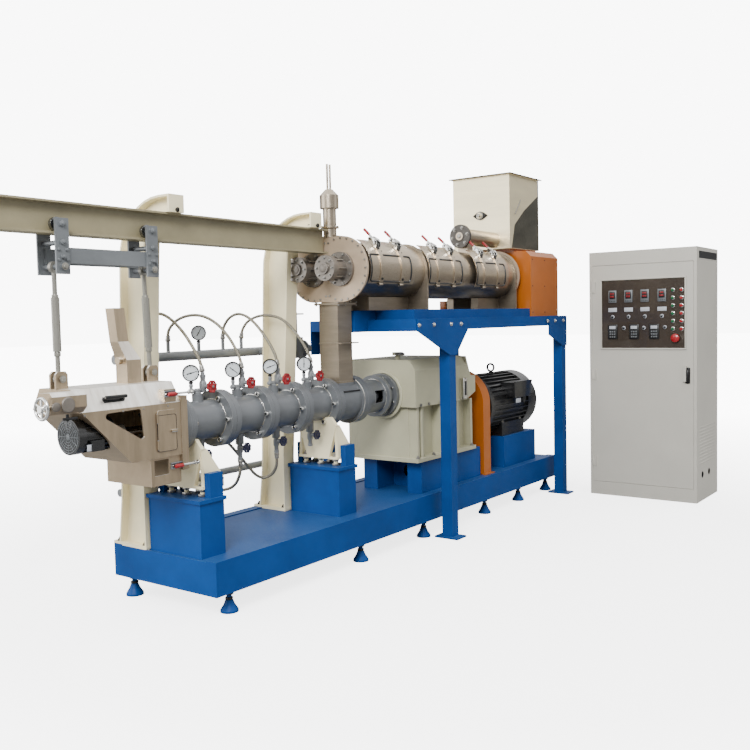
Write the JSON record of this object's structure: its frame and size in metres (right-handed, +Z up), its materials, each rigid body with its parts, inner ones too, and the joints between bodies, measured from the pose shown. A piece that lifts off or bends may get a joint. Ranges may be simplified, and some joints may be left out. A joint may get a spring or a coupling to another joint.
{
  "type": "fish feed extruder",
  "caption": "Fish feed extruder line on a blue skid with a barrel, steam conditioner, feed hopper, hanging face cutter, drive motor and a separate control cabinet.",
  "frame": {"origin": "on the floor, under the middle of the box round the whole line with its cabinet", "axes": "+X along the machine from the cutter towards the main motor and cabinet, +Y away from the operator side towards the steam pipes, +Z up"},
  "size_m": [5.862, 2.235, 2.632],
  "materials": {
    "blue_paint": "semi-gloss",
    "cream_paint": "semi-gloss",
    "barrel_steel": "satin",
    "orange_paint": "semi-gloss",
    "motor_black": "satin",
    "stainless": "brushed",
    "carriage_steel": "satin",
    "red_paint": "gloss",
    "wheel_blue": "gloss",
    "gauge_case": "satin",
    "braid": "braided",
    "cabinet_paint": "fine texture",
    "galvanised": "satin"
  },
  "bodies": {
    "frame": {"skid_beams": "blue_paint", "skid_deck": "blue_paint", "levelling_feet": "blue_paint", "barrel_pedestals": "blue_paint", "barrel_brackets": "cream_paint", "die_head": "barrel_steel", "barrel_section_1": "barrel_steel", "barrel_section_2": "barrel_steel", "barrel_section_3": "barrel_steel", "barrel_section_4": "barrel_steel", "feed_section": "barrel_steel", "coupling_lantern": "barrel_steel", "screw_shaft": "barrel_steel", "gearbox": "cream_paint", "drive_stands": "blue_paint", "coupling_guard": "orange_paint", "main_motor": "motor_black", "rail_posts": "cream_paint", "overhead_rail": "cream_paint", "platform_frame": "blue_paint", "conditioner_rails": "blue_paint", "platform_legs": "blue_paint", "conditioner_shell": "stainless", "conditioner_ends": "stainless", "conditioner_bearings": "stainless", "conditioner_saddles": "stainless", "vent_stack": "stainless", "transfer_chute": "stainless", "feed_hopper": "stainless", "screw_feeder": "stainless", "drive_housing": "orange_paint", "steam_manifold": "barrel_steel", "manifold_fittings": "barrel_steel", "drain_manifold": "barrel_steel", "steam_valves": "red_paint", "pressure_gauges": "gauge_case", "drain_valves": "wheel_blue", "steam_hose_1": "braid", "steam_hose_2": "braid", "steam_hose_3": "braid", "steam_hose_4": "braid", "drain_hose_1": "braid", "drain_hose_2": "braid", "control_cabinet": "cabinet_paint", "cabinet_panel": "galvanised"},
    "cutter": {"trolleys": "carriage_steel", "trolley_wheels": "carriage_steel", "hanger_rods": "carriage_steel", "cutter_hood": "stainless", "discharge_chute": "stainless", "cutter_motor": "motor_black", "air_duct": "stainless", "toggle_clamps": "red_paint"},
    "knife_rotor": {"cutter_knives": "stainless"},
    "handwheel": {"cutter_handwheel": "stainless"},
    "cutter_panel": {"cutter_door": "stainless"},
    "conditioner_lid_1": {"conditioner_door_1": "stainless"},
    "conditioner_lid_2": {"conditioner_door_2": "stainless"},
    "conditioner_lid_3": {"conditioner_door_3": "stainless"},
    "cabinet_leaf": {"cabinet_door": "cabinet_paint"}
  },
  "joints": [
    {"name": "cutter_slide", "type": "slide", "parent": "frame", "child": "cutter", "axis": [-1, 0, 0], "range_m": [0, 0.55]},
    {"name": "knife_spin", "type": "hinge", "parent": "cutter", "child": "knife_rotor", "pos_m": [-1.831, 0.4075, 0.982], "axis": [1, 0, 0], "continuous": true},
    {"name": "handwheel_turn", "type": "hinge", "parent": "cutter", "child": "handwheel", "pos_m": [-2.479, 0.2215, 1.15], "axis": [1, 0, 0], "continuous": true},
    {"name": "cutter_panel_hinge", "type": "hinge", "parent": "cutter", "child": "cutter_panel", "pos_m": [-1.853, 0.2219, 0.979], "axis": [0, 0, -1], "range_deg": [0, 110]},
    {"name": "conditioner_lid_1_hinge", "type": "hinge", "parent": "frame", "child": "conditioner_lid_1", "pos_m": [0.004, 0.12327, 1.73268], "axis": [1, 0, 0], "range_deg": [0, 100]},
    {"name": "conditioner_lid_2_hinge", "type": "hinge", "parent": "frame", "child": "conditioner_lid_2", "pos_m": [0.682, 0.12327, 1.73268], "axis": [1, 0, 0], "range_deg": [0, 100]},
    {"name": "conditioner_lid_3_hinge", "type": "hinge", "parent": "frame", "child": "conditioner_lid_3", "pos_m": [1.342, 0.12327, 1.73268], "axis": [1, 0, 0], "range_deg": [0, 100]},
    {"name": "cabinet_leaf_hinge", "type": "hinge", "parent": "frame", "child": "cabinet_leaf", "pos_m": [2.349, -0.2668, 1], "axis": [0, 0, -1], "range_deg": [0, 90]}
  ]
}
